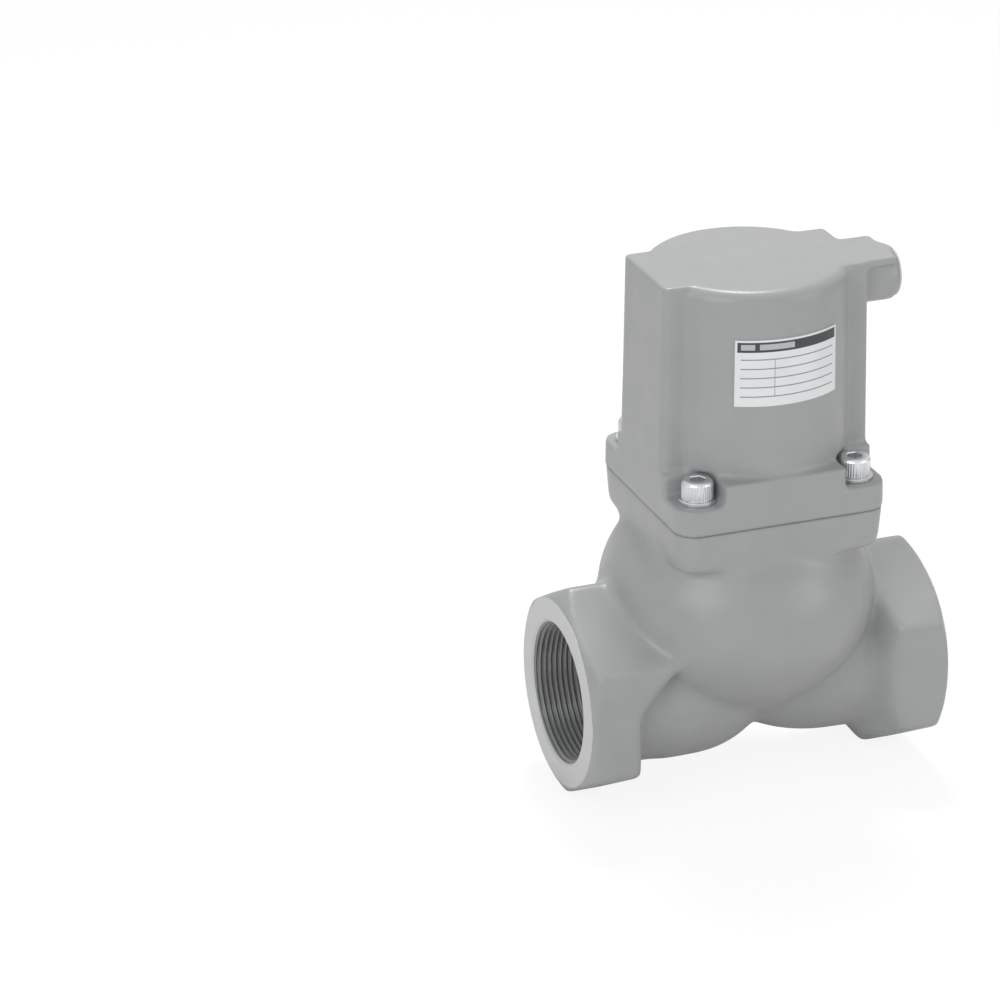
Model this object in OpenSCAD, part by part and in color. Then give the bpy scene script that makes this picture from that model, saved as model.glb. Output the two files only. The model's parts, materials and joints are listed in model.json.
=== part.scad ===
// Air-operated two-way valve with screwed ports: a cast globe body, and above it a
// spring-return piston in a cast cover. Compressed air lifts the piston and opens the valve.
// The frame has its origin in the middle of the inlet face, +X towards the outlet, +Z along the stem.

/* [Ports] */
// Distance between the two port faces
face_to_face = 160; // [150:1:170]
// Size of the port hexagons across their flats
hex_across = 82; // [78:0.5:88]
// Length of the inlet hexagon
inlet_hex_len = 38; // [35:0.5:42]
// Length of the outlet hexagon along its full corners
outlet_hex_len = 20; // [18:0.5:24]
// Radius at which the corners of a port face are cut back
hex_face_r = 40.5; // [38:0.5:42]
// Radius of the pipe thread in both ports
port_r = 29.8; // [28:0.1:31]
// Depth of the pipe thread
thread_depth = 26; // [22:0.5:28]

/* [Flow passages] */
// Radius of the flow passages
passage_r = 25; // [22:0.5:26]
// Wall around the inlet passage
inlet_wall = 9.5; // [8:0.5:11]
// Wall around the outlet passage
outlet_wall = 8.3; // [7:0.1:10]
// Thickness of the partition between inlet and outlet
partition_t = 6; // [5:0.5:7]
// Radius of the opening in the valve seat
seat_r = 24; // [22:0.5:25]
// Height of the seat above the pipe axis
seat_z = 14; // [12:0.5:16]
// Width of the raised land of the seat
seat_land = 3; // [2:0.5:4]

/* [Globe body] */
// Distance of the stem from mid-length, towards the outlet
stem_offset = 2; // [0:0.5:4]
// Distance of the bowl's middle from mid-length, towards the inlet
bowl_offset = 0.5; // [0:0.5:2]
// Radius of the bowl where it is widest
bowl_r = 57.5; // [55:0.5:60]
// Radius of the bowl where it meets the bonnet flange
bowl_neck_r = 47; // [44:0.5:49]
// Height of the bowl's widest level above the pipe axis
bowl_z = 36; // [33:0.5:40]
// Depth of the bowl below its widest level
bowl_depth = 61; // [58:0.5:64]
// Wall of the bowl towards the outlet
bowl_wall = 8; // [6:0.5:10]

/* [Bonnet flange] */
// Height of the joint between body and cover
parting_z = 82; // [80:0.5:86]
// Thickness of the body's bonnet flange
flange_t = 18; // [16:0.5:20]
// Half width of the flange along the pipe
flange_x = 46; // [45:0.5:50]
// Half width of the flange across the pipe
flange_y = 46; // [45:0.5:50]
// Radius of the flange corners
corner_r = 10; // [8:0.5:12]
// Draft of the flange sides over their height
flange_draft = 1.5; // [0.5:0.5:2.5]

/* [Cover] */
// Height of the cover above the joint
cover_h = 99; // [92:1:110]
// Height of the cover's flange band
band_h = 20.5; // [18:0.5:24]
// Thickness of the lugs under the bolt heads
lug_t = 11.5; // [10:0.5:13]
// Wall of the cylinder at its foot
cylinder_wall = 7.5; // [6.5:0.5:8.5]
// Half depth of the ears on both sides of the cylinder, at their foot
ear_y = 24; // [22:0.5:26]
// Draft of the cover's walls over their height
cover_draft = 1.7; // [1:0.1:2.2]
// Radius of the rounded rim at the top of the cylinder
rim_r = 5; // [3:0.5:6]
// Thickness of the cover's roof
roof_t = 10; // [8:0.5:12]
// Radius of the hollow fillet between cylinder and ears
ear_fillet_r = 5; // [3:0.5:6]

/* [Pilot air] */
// Radius of the boss that holds the pilot port
pilot_boss_r = 11.5; // [10.5:0.5:13]
// Distance from the stem to the face of the pilot boss
pilot_face_x = 62; // [60:0.5:66]
// Distance of the pilot port in front of the stem
pilot_y = 6; // [4:0.5:8]
// Radius of the pilot port's thread
pilot_port_r = 6.5; // [6:0.1:7]
// Depth of the pilot port's thread
pilot_port_depth = 11; // [9:0.5:12]
// Radius of the drilled air passage
air_hole_r = 1.75; // [1.5:0.05:2]
// Thickness of the lip over the pilot boss
lip_t = 3.5; // [2.5:0.5:5]
// Distance from the stem to the edge of that lip
lip_x = 58; // [56:0.5:60]

/* [Cylinder] */
// Radius of the piston bore
bore_r = 36; // [34:0.5:37]
// Thickness of the piston
piston_t = 16; // [15:0.5:18]
// Air space under the piston when the valve is shut
under_gap = 4; // [3.5:0.5:6]
// Lift of the stem from shut to open
stroke = 16; // [10:0.5:16]
// Radius of the stem
stem_r = 8; // [7.5:0.25:9]
// Radius of the threaded ends of the stem
stem_end_r = 6; // [5:0.25:6.5]
// Radius of the spring's wire
wire_r = 2.2; // [1.6:0.1:2.4]
// Mean radius of the spring
spring_r = 24; // [23:0.5:25]
// Number of turns of the spring
spring_turns = 6; // [5:1:7]

/* [Gland] */
// Thickness of the gland plate between body and cylinder
plate_t = 7; // [6:0.5:8]
// Width of the plate's rim outside the piston bore
plate_rim = 5; // [4.5:0.1:5.5]
// Length of the guide bush
bush_len = 9; // [8:0.5:10]
// Radius of the O-rings' section
ring_r = 1.1; // [0.9:0.05:1.2]

/* [Shut-off disc] */
// Overlap of the valve seal outside the seat opening
seal_overlap = 5; // [4:0.5:6]
// Thickness of the valve seal
seal_t = 5; // [4:0.5:6]
// Thickness of the shut-off disc
disc_t = 6; // [5:0.5:8]

/* [Fasteners] */
// Radius of the cover bolts
bolt_r = 4; // [3.5:0.1:4.2]
// Length of a cover bolt under its head
bolt_len = 25; // [22:0.5:26]
// Distance of the bolts from the flange's edge
bolt_edge = 11.5; // [11:0.25:12.5]
// Thickness of the washers
washer_t = 1.6; // [1.2:0.1:2]

/* [Nameplate] */
// Height of the nameplate
plate_h = 28; // [20:1:32]
// Thickness of the nameplate
plate_skin = 0.5; // [0.3:0.1:0.8]
// Height of the nameplate's middle below the top of the cover
plate_drop = 31; // [28:1:36]

/* [Hidden] */
$fn = 96;

// Small clearances between pieces
slip = 0.04;
loose = 0.1;
joint_gap = 0.05;
cut = 1;

// Places along the pipe
stem_x = face_to_face / 2 + stem_offset;
bowl_x = face_to_face / 2 - bowl_offset;

// Port hexagons and tubes
hex_corner = hex_across / 2 / cos(30);
inlet_tube_r = passage_r + inlet_wall;
outlet_tube_r = passage_r + outlet_wall;
inlet_cap_len = 40;
inlet_cap_x = stem_x - 27;
outlet_cap_len = 52;
outlet_cap_x = stem_x + 36;
outlet_cone_len = 12;

// Bowl
flange_z = parting_z - flange_t;
bowl_rise = (flange_z - bowl_z) / sqrt(1 - pow(bowl_neck_r / bowl_r, 2));
bowl_steps = 14;

// Seat and disc
seal_r = seat_r + seal_overlap;
disc_skirt = 1.6;
disc_r = seal_r + loose + disc_skirt;
throat_r = disc_r + 2.8;
seal_z = seat_z + joint_gap;
disc_z = seal_z + seal_t;
stem_shoulder_z = disc_z + disc_t;
floor_z = seat_z - 2;
ceiling_z = floor_z - partition_t;
sump_z = -8;
retainer_t = 3;
retainer_r = seat_r - 3;
nut_h = 8;
nut_across = 3 * stem_end_r;

// Gland
gland_r = bore_r + plate_rim;
plate_z = parting_z - plate_t;
neck_r = throat_r;
hub_r = stem_r + 7.5;
bush_r = stem_r + 3;
packing_r = stem_r + 4.5;
air_seal_t = 3.5;
keeper_t = 1.5;
bush_top_z = parting_z - keeper_t - air_seal_t;
bush_z = bush_top_z - bush_len;
packing_t = 6;
packing_keeper_t = 3;
hub_z = bush_z - packing_t - packing_keeper_t;
ring_groove_w = 2 * ring_r + 2 * joint_gap;
ring_mid_r = bore_r + plate_rim / 2;

// Piston and spring
piston_z = parting_z + under_gap;
piston_top_z = piston_z + piston_t;
piston_r = bore_r - 0.5;
stem_top_z = piston_top_z + nut_h + 1.5;
cover_top_z = parting_z + cover_h;
roof_z = cover_top_z - roof_t;
stop_gap = 0.3;
stop_z = stem_top_z + stroke + stop_gap;
stop_r = 10;
spring_pocket = 6;
pocket_gap = 1.2;
spring_plate_t = 2;
spring_low_z = piston_top_z - spring_pocket + joint_gap;
spring_high_z = roof_z - spring_plate_t - joint_gap;

// Cover
cylinder_r = bore_r + cylinder_wall;
cylinder_top_r = cylinder_r - cover_draft;
band_z = parting_z + band_h;
lug_z = parting_z + lug_t;
bolt_x = flange_x - bolt_edge;
bolt_y = flange_y - bolt_edge;
head_r = 1.625 * bolt_r;
head_h = 2 * bolt_r;
washer_r = head_r + 1.2;
spot_r = washer_r + 0.6;
tapped_depth = bolt_len - lug_t - washer_t + 2;
bolt_hole_r = bolt_r + 0.5;
socket_across = 1.5 * bolt_r;
socket_depth = bolt_r;

// Pilot air
pilot_z = cover_top_z - pilot_boss_r;
pilot_hole_end_x = pilot_face_x - pilot_port_depth;
air_shaft_x = (bore_r + flange_x - cover_draft) / 2;
air_inlet_z = parting_z + air_hole_r + 0.5;
lip_front_y = 21;
lip_back_y = 8;
breather_r = 4;
breather_t = 3;
breather_z = roof_z - 10;

// Nameplate, as angles around the cylinder from its front
plate_left = -22;
plate_right = 49;

// Carries its children to the stem's axis
module at_stem() {
    translate([stem_x, 0, 0]) children();
}

// Turns a shape revolved about Z so that its axis lies along the pipe
module along_pipe() {
    rotate([0, 90, 0]) children();
}

// Puts a copy of its children at each of the four cover bolts
module at_bolts() {
    for (side_x = [-1, 1], side_y = [-1, 1])
        translate([stem_x + side_x * bolt_x, side_y * bolt_y, 0]) children();
}

// A block with rounded upright corners, each side set in at its foot and at its top
module drafted_block(half_x, half_y, radius, low_z, high_z, low_inset, high_inset) {
    height = high_z - low_z;
    for (side_x = [-1, 1], side_y = [-1, 1])
        translate([side_x * (half_x - radius), side_y * (half_y - radius), low_z])
            cylinder(h = height, r1 = radius - low_inset, r2 = radius - high_inset);
    rotate([90, 0, 0])
        linear_extrude(2 * (half_y - radius), center = true)
            drafted_profile(half_x, low_z, high_z, low_inset, high_inset);
    rotate([90, 0, 90])
        linear_extrude(2 * (half_x - radius), center = true)
            drafted_profile(half_y, low_z, high_z, low_inset, high_inset);
}

// The upright section of a drafted block
module drafted_profile(half, low_z, high_z, low_inset, high_inset) {
    polygon([
        [low_inset - half, low_z],
        [half - low_inset, low_z],
        [half - high_inset, high_z],
        [high_inset - half, high_z]
    ]);
}

// A flat ring with a square section
module flat_ring(outer_r, inner_r, low_z, thick) {
    translate([0, 0, low_z]) difference() {
        cylinder(h = thick, r = outer_r);
        translate([0, 0, -cut]) cylinder(h = thick + 2 * cut, r = inner_r);
    }
}

// An O-ring that lies on the level low_z
module o_ring(mean_r, section_r, low_z) {
    translate([0, 0, low_z + section_r])
        rotate_extrude() translate([mean_r, 0]) circle(r = section_r, $fn = 32);
}

// A hexagon nut with a plain hole, its upper corners cut back
module hex_nut(across, height, hole_r, low_z) {
    corner = across / 2 / cos(30);
    translate([0, 0, low_z]) difference() {
        intersection() {
            linear_extrude(height) circle(r = corner, $fn = 6);
            rotate_extrude() polygon([
                [0, 0],
                [corner, 0],
                [corner, height - 1],
                [across / 2, height],
                [0, height]
            ]);
        }
        translate([0, 0, -cut]) cylinder(h = height + 2 * cut, r = hole_r);
    }
}

// A port hexagon with a corner at the top and at the bottom, starting at x = start
module port_hexagon(start, length) {
    translate([start, 0, 0]) along_pipe()
        linear_extrude(length) circle(r = hex_corner, $fn = 6);
}

// Half of an ellipse that closes a tube, as points of radius and distance
function cap_points(radius, length, middle, side) = [
    for (i = [0:bowl_steps])
        let (turn = 90 * i / bowl_steps)
            [radius * cos(turn), middle + side * length * sin(turn)]
];

// A tube around the pipe's axis from one point to another, closed by a rounded end
module capped_tube(radius, from_x, cap_x, cap_len) {
    side = sign(cap_x - from_x);
    along_pipe() rotate_extrude()
        polygon(concat([[0, from_x], [radius, from_x]], cap_points(radius, cap_len, cap_x, side)));
}

// The inlet hexagon, its outer corners cut back towards the port face
module inlet_hexagon() {
    intersection() {
        port_hexagon(0, inlet_hex_len);
        along_pipe() rotate_extrude() polygon([
            [0, 0],
            [hex_face_r, 0],
            [hex_corner + cut, (hex_corner + cut - hex_face_r) * 0.65],
            [hex_corner + cut, inlet_hex_len],
            [0, inlet_hex_len]
        ]);
    }
}

// The outlet hexagon, which runs into the tube through a cone
module outlet_hexagon() {
    cone_x = face_to_face - outlet_hex_len - outlet_cone_len;
    face_cut = (hex_corner + cut - hex_face_r) * 0.65;
    intersection() {
        port_hexagon(cone_x, face_to_face - cone_x);
        along_pipe() rotate_extrude() polygon([
            [0, cone_x],
            [outlet_tube_r - 0.3, cone_x],
            [hex_corner + cut, face_to_face - outlet_hex_len],
            [hex_corner + cut, face_to_face - face_cut],
            [hex_face_r, face_to_face],
            [0, face_to_face]
        ]);
    }
}

// The bowl: half an ellipse above its widest level, a fuller curve below it
module bowl() {
    top = (flange_z - bowl_z) / bowl_rise;
    lower = [
        for (i = [0:bowl_steps - 1])
            let (depth = 1 - i / bowl_steps)
                [bowl_r * (1 - pow(depth, 2.2)), bowl_z - bowl_depth * depth]
    ];
    upper = [
        for (i = [0:bowl_steps])
            let (height = top * i / bowl_steps)
                [bowl_r * sqrt(1 - height * height), bowl_z + bowl_rise * height]
    ];
    neck_top = flange_z + 2;
    translate([bowl_x, 0, 0]) rotate_extrude()
        polygon(concat(lower, upper, [[bowl_neck_r - 3, neck_top], [0, neck_top]]));
}

// The way from the inlet to the underside of the seat
module inlet_passage() {
    wall_x = stem_x - throat_r - partition_t / 2;
    slope = 14;
    intersection() {
        capped_tube(passage_r, thread_depth - cut, inlet_cap_x, inlet_cap_len - inlet_wall);
        rotate([90, 0, 0]) linear_extrude(2 * passage_r + 2 * cut, center = true) polygon([
            [0, -passage_r - cut],
            [stem_x, -passage_r - cut],
            [stem_x, ceiling_z],
            [wall_x, ceiling_z],
            [wall_x - slope, passage_r + cut],
            [0, passage_r + cut]
        ]);
    }
    at_stem() translate([0, 0, sump_z]) cylinder(h = seat_z - sump_z + cut, r = seat_r);
}

// The way from the chamber above the seat to the outlet
module outlet_passage() {
    wall_x = stem_x + seat_r + partition_t;
    chamber_r = bowl_r - 16.5;
    chamber_x = bowl_x + bowl_r - bowl_wall - chamber_r;
    end_x = face_to_face - thread_depth + cut;
    top_z = plate_z - 4;
    intersection() {
        union() {
            at_stem() cylinder(h = top_z, r = throat_r);
            translate([chamber_x, 0, bowl_z + 2]) sphere(r = chamber_r);
            translate([stem_x, 0, 0]) along_pipe() cylinder(h = end_x - stem_x, r = passage_r);
        }
        rotate([90, 0, 0]) linear_extrude(2 * bowl_r, center = true) polygon([
            [0, floor_z],
            [wall_x, floor_z],
            [wall_x, -passage_r - cut],
            [end_x, -passage_r - cut],
            [end_x, passage_r + 2 * cut],
            [end_x, top_z],
            [0, top_z]
        ]);
    }
    at_stem() translate([0, 0, bowl_z]) cylinder(h = parting_z - bowl_z, r = neck_r);
}

// The pipe thread's bore in one port face
module port_bore(start) {
    translate([start, 0, 0]) along_pipe() cylinder(h = thread_depth + cut, r = port_r);
}

// The outside of the casting
module body_outside() {
    inlet_hexagon();
    outlet_hexagon();
    capped_tube(inlet_tube_r, inlet_hex_len - cut, inlet_cap_x, inlet_cap_len);
    capped_tube(outlet_tube_r, face_to_face - outlet_hex_len, outlet_cap_x, outlet_cap_len);
    bowl();
    at_stem() drafted_block(flange_x, flange_y, corner_r, flange_z, parting_z, flange_draft, 0);
}

// The globe body, with the partition that makes the flow climb through the seat
module body() {
    color([0.62, 0.63, 0.64]) {
        difference() {
            body_outside();
            port_bore(-cut);
            port_bore(face_to_face - thread_depth);
            inlet_passage();
            outlet_passage();
            at_stem() translate([0, 0, plate_z]) cylinder(h = plate_t + cut, r = gland_r + loose);
            at_bolts() translate([0, 0, parting_z - tapped_depth])
                cylinder(h = tapped_depth + cut, r = bolt_r + loose);
        }
        at_stem() flat_ring(seat_r + seat_land, seat_r, floor_z - cut, seat_z - floor_z + cut);
    }
}

// The two hollow fillets that join one side of the cylinder to the ears, in plan
module ear_fillets_plan() {
    meet_r = cylinder_top_r + ear_fillet_r;
    plane_y = ear_y - cover_draft;
    middle_y = plane_y + ear_fillet_r;
    middle_x = sqrt(meet_r * meet_r - middle_y * middle_y);
    touch = cylinder_top_r / meet_r;
    for (side = [-1, 1]) difference() {
        polygon([
            [side * middle_x, plane_y],
            [side * middle_x, plane_y - 2],
            [side * touch * middle_x * 0.9, plane_y - 2],
            [side * touch * middle_x, touch * middle_y]
        ]);
        translate([side * middle_x, middle_y]) circle(r = ear_fillet_r);
    }
}

// The cover's cylinder with its rounded rim
module cylinder_outside() {
    rotate_extrude() {
        polygon([
            [0, parting_z],
            [cylinder_r, parting_z],
            [cylinder_top_r, cover_top_z - rim_r],
            [cylinder_top_r - rim_r, cover_top_z],
            [0, cover_top_z]
        ]);
        translate([cylinder_top_r - rim_r, cover_top_z - rim_r]) circle(r = rim_r);
    }
}

// The boss of the pilot port and the lip of the cover's top above it
module pilot_boss() {
    root_x = flange_x - 8;
    translate([root_x, -pilot_y, pilot_z]) along_pipe() rotate_extrude() polygon([
        [0, 0],
        [pilot_boss_r, 0],
        [pilot_boss_r, pilot_face_x - root_x - 2.5],
        [pilot_boss_r - 1, pilot_face_x - root_x - 0.8],
        [pilot_boss_r - 2.5, pilot_face_x - root_x],
        [0, pilot_face_x - root_x]
    ]);
    translate([root_x, -lip_front_y, cover_top_z - lip_t])
        cube([lip_x - root_x, lip_front_y + lip_back_y, lip_t]);
    translate([root_x, -pilot_y - pilot_boss_r, pilot_z])
        cube([lip_x - root_x - 2, 2 * pilot_boss_r, pilot_boss_r]);
}

// Cuts the four corner pockets for the bolt heads, open to the front and to the side
module bolt_pockets() {
    depth = band_h - lug_t + cut;
    for (side_x = [-1, 1], side_y = [-1, 1])
        translate([side_x * bolt_x, side_y * bolt_y, lug_z]) {
            cylinder(h = depth, r = spot_r);
            translate([side_x < 0 ? -bolt_edge - cut : 0, -spot_r, 0])
                cube([bolt_edge + cut, 2 * spot_r, depth]);
            translate([-spot_r, side_y < 0 ? -bolt_edge - cut : 0, 0])
                cube([2 * spot_r, bolt_edge + cut, depth]);
        }
}

// The holes that bring pilot air under the piston and let the spring's side breathe
module cover_air_ways() {
    translate([pilot_hole_end_x, -pilot_y, pilot_z]) along_pipe()
        cylinder(h = pilot_port_depth + cut, r = pilot_port_r);
    translate([air_shaft_x, -pilot_y, pilot_z]) along_pipe()
        cylinder(h = pilot_hole_end_x - air_shaft_x + cut, r = air_hole_r);
    translate([air_shaft_x, -pilot_y, air_inlet_z])
        cylinder(h = pilot_z - air_inlet_z, r = air_hole_r);
    translate([bore_r - 3, -pilot_y, air_inlet_z]) along_pipe()
        cylinder(h = air_shaft_x - bore_r + 3, r = air_hole_r);
    translate([0, 0, breather_z]) rotate([-90, 0, 0]) cylinder(h = cylinder_r, r = air_hole_r);
    translate([0, cylinder_top_r - breather_t, breather_z]) rotate([-90, 0, 0])
        cylinder(h = cylinder_wall, r = breather_r);
}

// The cast cover: cylinder, ears, flange band, bolt pockets, pilot boss and stop post
module cover() {
    color([0.64, 0.65, 0.66]) at_stem() {
        difference() {
            union() {
                drafted_block(flange_x, flange_y, corner_r, parting_z, band_z, 0,
                    cover_draft * band_h / cover_h);
                drafted_block(flange_x, ear_y, cover_draft + 2, parting_z, cover_top_z, 0, cover_draft);
                cylinder_outside();
                for (side_y = [0, 1]) mirror([0, side_y, 0])
                    translate([0, 0, lug_z])
                        linear_extrude(cover_top_z - lug_z - rim_r / 2) ear_fillets_plan();
                pilot_boss();
            }
            translate([0, 0, parting_z - cut]) cylinder(h = roof_z - parting_z + cut, r = bore_r);
            bolt_pockets();
            translate([-stem_x, 0, parting_z - cut]) at_bolts()
                cylinder(h = lug_t + 2 * cut, r = bolt_hole_r);
            cover_air_ways();
        }
        translate([0, 0, stop_z]) cylinder(h = roof_z - stop_z + cut, r = stop_r);
    }
}

// The plate that shuts the fluid out of the cylinder and carries the stem's seals
module gland_plate() {
    color([0.78, 0.76, 0.7]) at_stem() difference() {
        union() {
            translate([0, 0, plate_z]) cylinder(h = plate_t, r = gland_r);
            translate([0, 0, hub_z]) cylinder(h = plate_z - hub_z + cut, r = hub_r);
        }
        translate([0, 0, hub_z - cut]) cylinder(h = packing_t + packing_keeper_t + cut, r = packing_r + slip);
        translate([0, 0, hub_z]) cylinder(h = bush_z - hub_z + cut, r = stem_r + 0.3);
        translate([0, 0, bush_z]) cylinder(h = parting_z - bush_z + cut, r = bush_r + slip);
        flat_ring(ring_mid_r + ring_groove_w / 2, ring_mid_r - ring_groove_w / 2,
            parting_z - ring_groove_w, ring_groove_w + cut);
        flat_ring(ring_mid_r + ring_groove_w / 2, ring_mid_r - ring_groove_w / 2,
            plate_z - cut, ring_groove_w + cut);
    }
}

// The bush that guides the stem
module guide_bush() {
    color([0.72, 0.55, 0.3]) at_stem() flat_ring(bush_r, stem_r + slip, bush_z, bush_len);
}

// The packing that keeps the fluid from climbing the stem: three chevron rings
module stem_packing() {
    ring_h = 2.4;
    pitch = (packing_t - ring_h) / 2;
    color([0.16, 0.16, 0.17]) at_stem() for (i = [0:2])
        translate([0, 0, bush_z - packing_t + i * pitch + slip / 2]) rotate_extrude() polygon([
            [stem_r + slip, 0],
            [(stem_r + packing_r) / 2, ring_h - 0.8 * pitch],
            [packing_r, 0],
            [packing_r, 0.8 * pitch],
            [(stem_r + packing_r) / 2, ring_h - slip],
            [stem_r + slip, 0.8 * pitch]
        ]);
}

// The ring under the packing that keeps it in the hub
module packing_keeper() {
    color([0.75, 0.75, 0.76]) at_stem()
        flat_ring(packing_r, stem_r + 0.2, hub_z, packing_keeper_t - slip);
}

// The seal that keeps the cylinder's air in
module air_seal() {
    color([0.16, 0.16, 0.17]) at_stem()
        flat_ring(bush_r, stem_r + slip, bush_top_z + slip, air_seal_t - 2 * slip);
}

// The ring over the air seal
module air_seal_keeper() {
    color([0.75, 0.75, 0.76]) at_stem()
        flat_ring(bush_r, stem_r + 0.2, bush_top_z + air_seal_t, keeper_t);
}

// The ring that seals the gland plate to the body
module body_ring() {
    color([0.12, 0.12, 0.13]) at_stem() o_ring(ring_mid_r, ring_r, plate_z + joint_gap);
}

// The ring that seals the gland plate to the cover
module cover_ring() {
    color([0.12, 0.12, 0.13]) at_stem()
        o_ring(ring_mid_r, ring_r, parting_z - ring_groove_w + joint_gap);
}

// Heights of the grooves around the piston
packing_groove_z = piston_z + 2.5;
packing_groove_h = 4;
band_groove_z = piston_top_z - 6;
band_groove_h = 4;
inner_groove_z = piston_z + 6;

// The piston, with its grooves and the pocket where the spring stands
module piston() {
    color([0.8, 0.8, 0.81]) at_stem() difference() {
        translate([0, 0, piston_z]) cylinder(h = piston_t, r = piston_r);
        translate([0, 0, piston_z - cut]) cylinder(h = piston_t + 2 * cut, r = stem_end_r + slip);
        flat_ring(bore_r, piston_r - 4, packing_groove_z, packing_groove_h);
        flat_ring(bore_r, piston_r - 2, band_groove_z, band_groove_h);
        flat_ring(spring_r + wire_r + pocket_gap, spring_r - wire_r - pocket_gap,
            piston_top_z - spring_pocket, spring_pocket + cut);
        flat_ring(stem_end_r + 2 * ring_r + joint_gap, stem_end_r - cut,
            inner_groove_z, ring_groove_w);
    }
}

// The lip seal around the piston
module piston_packing() {
    color([0.12, 0.12, 0.13]) at_stem() difference() {
        flat_ring(bore_r - slip, piston_r - 4 + slip, packing_groove_z + slip, packing_groove_h - 2 * slip);
        rotate_extrude() polygon([
            [piston_r - 3, packing_groove_z - cut],
            [bore_r - 1, packing_groove_z - cut],
            [bore_r - 2, packing_groove_z + 2],
            [piston_r - 2.3, packing_groove_z + 2]
        ]);
    }
}

// The band that guides the piston
module piston_band() {
    color([0.5, 0.38, 0.2]) at_stem()
        flat_ring(bore_r - slip, piston_r - 2 + slip, band_groove_z + slip, band_groove_h - 2 * slip);
}

// The ring that seals the piston to the stem
module piston_ring() {
    color([0.12, 0.12, 0.13]) at_stem()
        o_ring(stem_end_r + ring_r + joint_gap / 2, ring_r, inner_groove_z + joint_gap);
}

// The stem, turned down at both ends where nuts hold the disc and the piston
module stem() {
    foot_z = seal_z - retainer_t - nut_h - 1.5;
    color([0.82, 0.83, 0.84]) at_stem() rotate_extrude() polygon([
        [0, foot_z],
        [stem_end_r - 1, foot_z],
        [stem_end_r, foot_z + 1],
        [stem_end_r, stem_shoulder_z],
        [stem_r, stem_shoulder_z],
        [stem_r, piston_z],
        [stem_end_r, piston_z],
        [stem_end_r, stem_top_z - 1],
        [stem_end_r - 1, stem_top_z],
        [0, stem_top_z]
    ]);
}

// The nut that holds the piston
module piston_nut() {
    color([0.76, 0.77, 0.78]) at_stem() hex_nut(nut_across, nut_h, stem_end_r + slip, piston_top_z);
}

// One point of the spring's centre line; its first and last turns lie flat
function spring_point(part) =
    let (
        low = spring_low_z + wire_r,
        high = spring_high_z - wire_r,
        flat = 0.6 / spring_turns,
        rise = max(0, min(1, (part - flat) / (1 - 2 * flat))),
        turn = 360 * spring_turns * part
    )
    [spring_r * cos(turn), spring_r * sin(turn), low + (high - low) * rise];

// The return spring, swept along its centre line
module return_spring() {
    rings = 24 * spring_turns;
    sides = 8;
    points = [
        for (i = [0:rings])
            let (part = i / rings, turn = 360 * spring_turns * part, middle = spring_point(part))
                for (j = [0:sides - 1])
                    let (way = 360 * j / sides)
                        middle + wire_r * [cos(way) * cos(turn), cos(way) * sin(turn), sin(way)]
    ];
    skin = [
        for (i = [0:rings - 1], j = [0:sides - 1])
            let (next = (j + 1) % sides)
                [i * sides + j, i * sides + next, (i + 1) * sides + next, (i + 1) * sides + j]
    ];
    first = [for (j = [sides - 1:-1:0]) j];
    last = [for (j = [0:sides - 1]) rings * sides + j];
    color([0.7, 0.71, 0.72]) at_stem() polyhedron(points, concat([first], skin, [last]), convexity = 8);
}

// The plate between the spring and the cover's roof
module spring_plate() {
    color([0.75, 0.75, 0.76]) at_stem()
        flat_ring(spring_r + 6, stop_r + loose, roof_z - spring_plate_t, spring_plate_t);
}

// The disc that carries the valve seal, with a skirt around it and a neck up the stem
module shutoff_disc() {
    color([0.8, 0.8, 0.81]) at_stem() rotate_extrude() polygon([
        [stem_end_r + slip, disc_z],
        [seal_r + loose, disc_z],
        [seal_r + loose, seal_z + 1.5],
        [disc_r, seal_z + 1.5],
        [disc_r, disc_z + disc_t - 3],
        [disc_r - 2, disc_z + disc_t - 1.5],
        [stem_r + 6, disc_z + disc_t],
        [stem_end_r + slip, disc_z + disc_t]
    ]);
}

// The soft ring that closes on the seat
module valve_seal() {
    color([0.14, 0.14, 0.15]) at_stem() flat_ring(seal_r, stem_end_r + slip, seal_z, seal_t);
}

// The washer that clamps the valve seal
module seal_retainer() {
    color([0.8, 0.8, 0.81]) at_stem()
        flat_ring(retainer_r, stem_end_r + slip, seal_z - retainer_t, retainer_t);
}

// The nut under the seal retainer
module retainer_nut() {
    color([0.76, 0.77, 0.78]) at_stem() mirror([0, 0, 1])
        hex_nut(nut_across, nut_h, stem_end_r + slip, retainer_t - seal_z);
}

// The four cover bolts, with hexagon sockets
module cover_bolts() {
    head_z = lug_z + washer_t;
    color([0.7, 0.71, 0.72]) at_bolts() {
        translate([0, 0, head_z - bolt_len]) cylinder(h = bolt_len + cut, r = bolt_r);
        difference() {
            translate([0, 0, head_z]) rotate_extrude() polygon([
                [0, 0],
                [head_r, 0],
                [head_r, head_h - 0.8],
                [head_r - 0.8, head_h],
                [0, head_h]
            ]);
            translate([0, 0, head_z + head_h - socket_depth])
                linear_extrude(socket_depth + cut) circle(r = socket_across / 2 / cos(30), $fn = 6);
        }
    }
}

// The washers under the bolt heads
module bolt_washers() {
    color([0.74, 0.75, 0.76]) at_bolts() flat_ring(washer_r, bolt_r + 0.2, lug_z, washer_t);
}

// The curved nameplate on the front of the cylinder
module nameplate() {
    middle_z = cover_top_z - plate_drop;
    low_z = middle_z - plate_h / 2;
    high_z = middle_z + plate_h / 2;
    slope = cover_draft / (cover_h - rim_r);
    low_r = cylinder_r - slope * (low_z - parting_z) + slip / 2;
    high_r = cylinder_r - slope * (high_z - parting_z) + slip / 2;
    color([0.8, 0.81, 0.82]) at_stem() rotate([0, 0, plate_left - 90])
        rotate_extrude(angle = plate_right - plate_left) polygon([
            [low_r, low_z],
            [low_r + plate_skin, low_z],
            [high_r + plate_skin, high_z],
            [high_r, high_z]
        ]);
}

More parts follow.
